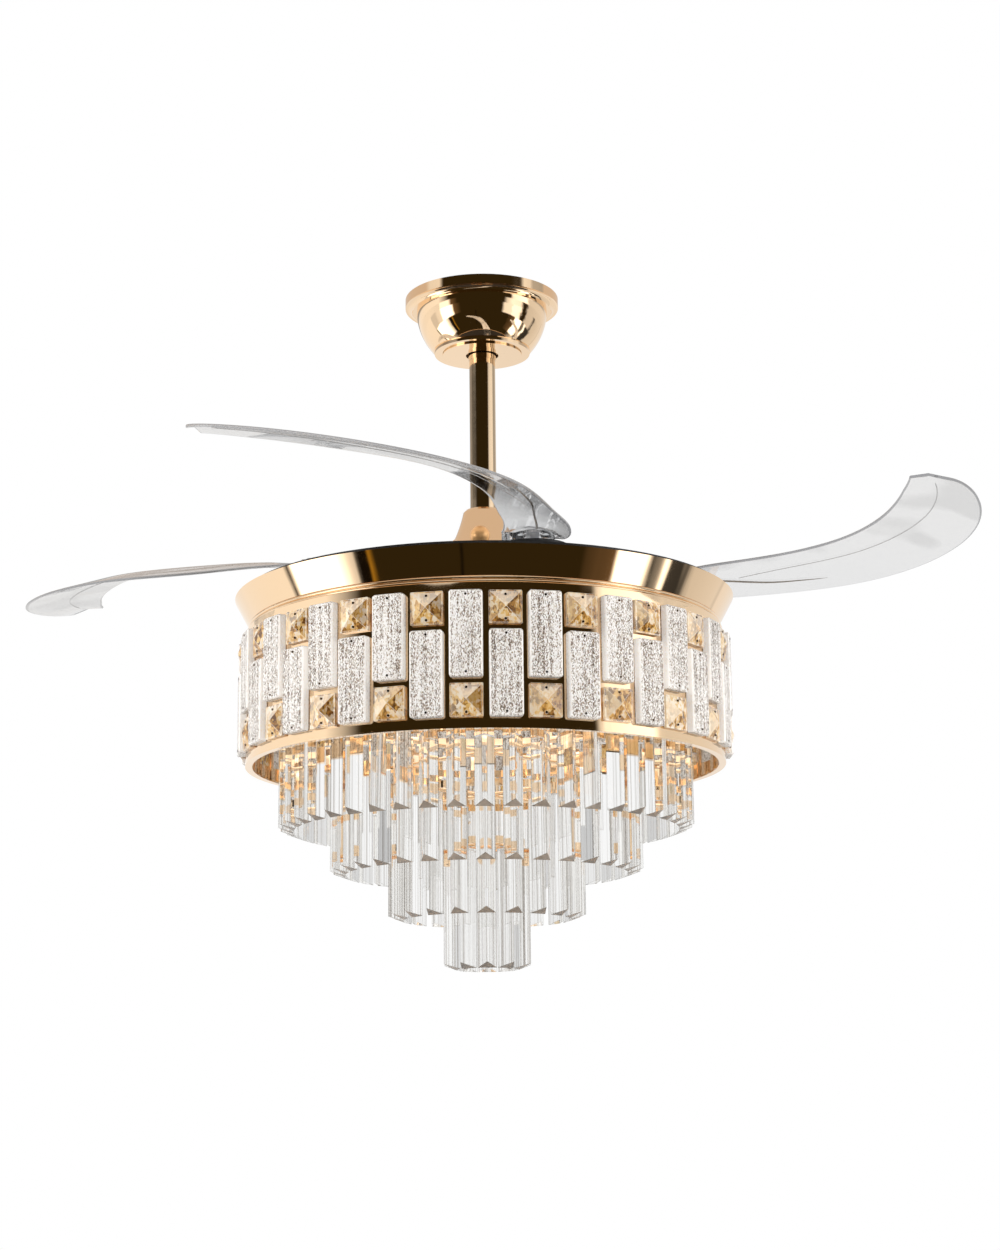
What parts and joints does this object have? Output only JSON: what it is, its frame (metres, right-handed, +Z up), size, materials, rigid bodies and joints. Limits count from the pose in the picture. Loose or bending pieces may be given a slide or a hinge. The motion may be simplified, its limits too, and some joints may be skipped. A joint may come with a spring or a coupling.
{
  "type": "ceiling fan",
  "caption": "Ceiling fan with swept clear blades that fold over a round crystal drum light with tiers of hanging prisms below.",
  "frame": {"origin": "centre of the bracket's ceiling face, on the axis of the fan", "axes": "+Z up into the ceiling along the fan's axis, -Y towards the front, +X along the two ceiling screws"},
  "size_m": [0.9579, 0.9852, 0.689],
  "materials": {
    "bracket_steel": "galvanised pressed steel",
    "gold_plate": "polished light rose gold plate",
    "bare_steel": "turned bare steel",
    "black_cover": "satin black",
    "black_gear": "dark moulded gear",
    "motor_paint": "satin black paint",
    "stator_steel": "laminated steel",
    "copper_wire": "enamelled winding",
    "magnet": "sintered magnet, coated",
    "clear_blade": "clear moulded blade",
    "clear_gear": "clear moulded gear boss",
    "pan_white": "white powder coat",
    "amber_glass": "amber cut crystal",
    "clear_glass": "clear textured crystal",
    "prism_glass": "clear polished prism",
    "lens_plastic": "frosted lens",
    "white_plastic": "white box",
    "tray_alu": "plain sheet"
  },
  "bodies": {
    "ceiling_side": {"ceiling_bracket": "bracket_steel", "canopy": "gold_plate", "canopy_end_disc": "gold_plate", "canopy_screws": "gold_plate", "receiver_box": "white_plastic", "terminal_block": "white_plastic"},
    "hanging_set": {"hanger_ball": "motor_paint", "downrod": "gold_plate", "rod_pins": "bare_steel", "downrod_collar": "gold_plate", "coupling_bell": "gold_plate", "bell_screws": "gold_plate", "yoke": "bare_steel", "yoke_screws": "bare_steel", "motor_shaft": "bare_steel", "bearing_inner_races": "bare_steel", "stator_core": "stator_steel", "stator_windings": "copper_wire", "cone_ring": "gold_plate", "ring_bead": "gold_plate", "kit_pan": "pan_white", "kit_nut": "bare_steel", "drum_frame": "gold_plate", "drum_top_ring": "gold_plate", "drum_bottom_ring": "gold_plate", "drum_screws": "bare_steel", "amber_crystals": "amber_glass", "textured_crystals": "clear_glass", "crystal_pins": "gold_plate", "lamp_tray": "tray_alu", "tray_posts": "bare_steel", "led_driver": "white_plastic", "led_lenses": "lens_plastic", "tier_stem": "gold_plate", "tier_rings": "gold_plate", "prisms_tier_1": "prism_glass", "prisms_tier_2": "prism_glass", "prisms_tier_3": "prism_glass", "prisms_tier_4": "prism_glass", "prism_links": "gold_plate", "finial": "gold_plate"},
    "rotor": {"bearing_outer_races": "bare_steel", "bearing_balls": "bare_steel", "rotor_top_cover": "motor_paint", "rotor_bottom_cover": "motor_paint", "rotor_magnets": "magnet", "blade_carrier": "black_cover", "carrier_screws": "bare_steel", "sync_clips": "black_gear", "pivot_bolts": "bare_steel", "blade_springs": "bare_steel"},
    "gear_ring": {"sync_gear": "black_gear"},
    "blade_set_1": {"blade_1": "clear_blade", "blade_gear_1": "clear_gear"},
    "blade_set_2": {"blade_2": "clear_blade", "blade_gear_2": "clear_gear"},
    "blade_set_3": {"blade_3": "clear_blade", "blade_gear_3": "clear_gear"},
    "blade_set_4": {"blade_4": "clear_blade", "blade_gear_4": "clear_gear"}
  },
  "joints": [
    {"name": "hanger_swing", "type": "hinge", "parent": "ceiling_side", "child": "hanging_set", "pos_m": [0, 0, -0.034], "axis": [1, 0, 0], "range_deg": [-3, 3]},
    {"name": "fan_spin", "type": "hinge", "parent": "hanging_set", "child": "rotor", "pos_m": [0, 0, -0.3], "axis": [0, 0, 1], "continuous": true},
    {"name": "gear_ring_turn", "type": "hinge", "parent": "rotor", "child": "gear_ring", "pos_m": [0, 0, -0.3016], "axis": [0, 0, 1], "range_deg": [0, 16.1]},
    {"name": "blade_1_fold", "type": "hinge", "parent": "rotor", "child": "blade_set_1", "pos_m": [0.04771, -0.16056, -0.3016], "axis": [0, 0, 1], "range_deg": [-82, 0]},
    {"name": "blade_2_fold", "type": "hinge", "parent": "rotor", "child": "blade_set_2", "pos_m": [0.16056, 0.04771, -0.3016], "axis": [0, 0, 1], "range_deg": [-82, 0]},
    {"name": "blade_3_fold", "type": "hinge", "parent": "rotor", "child": "blade_set_3", "pos_m": [-0.04771, 0.16056, -0.3016], "axis": [0, 0, 1], "range_deg": [-82, 0]},
    {"name": "blade_4_fold", "type": "hinge", "parent": "rotor", "child": "blade_set_4", "pos_m": [-0.16056, -0.04771, -0.3016], "axis": [0, 0, 1], "range_deg": [-82, 0]}
  ],
  "couplings": [
    {"joint": "blade_1_fold", "follows": "gear_ring_turn", "ratio": -5.0909},
    {"joint": "blade_2_fold", "follows": "gear_ring_turn", "ratio": -5.0909},
    {"joint": "blade_3_fold", "follows": "gear_ring_turn", "ratio": -5.0909},
    {"joint": "blade_4_fold", "follows": "gear_ring_turn", "ratio": -5.0909}
  ]
}
